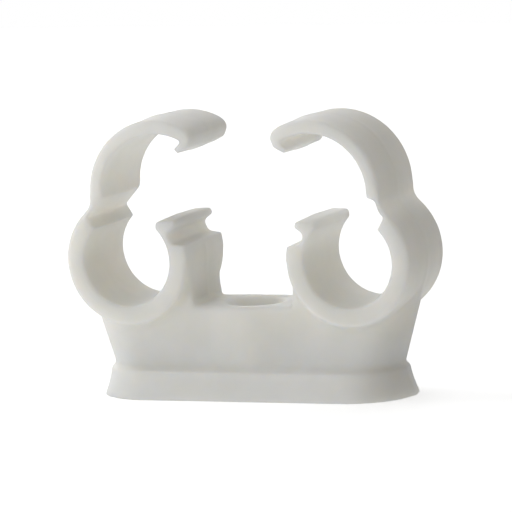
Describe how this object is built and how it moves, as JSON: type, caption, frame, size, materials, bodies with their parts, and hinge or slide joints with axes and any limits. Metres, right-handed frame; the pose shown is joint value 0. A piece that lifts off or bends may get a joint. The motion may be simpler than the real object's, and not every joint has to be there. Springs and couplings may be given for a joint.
{
  "type": "double pipe clip",
  "caption": "Hinged double pipe clip, moulded in one piece and shown open: side-by-side cradles with snap-over arms on a waisted body, fixed by a countersunk screw.",
  "frame": {"origin": "middle of the face that lies on the wall", "axes": "+X from one pipe to the other, +Y along the pipes, +Z away from the wall"},
  "size_m": [0.0626, 0.0204, 0.0477],
  "materials": {
    "white_plastic": "satin white polypropylene, evenly moulded, with a fine soft grain"
  },
  "bodies": {
    "root": {"pipe_clip": "white_plastic"}
  },
  "joints": []
}
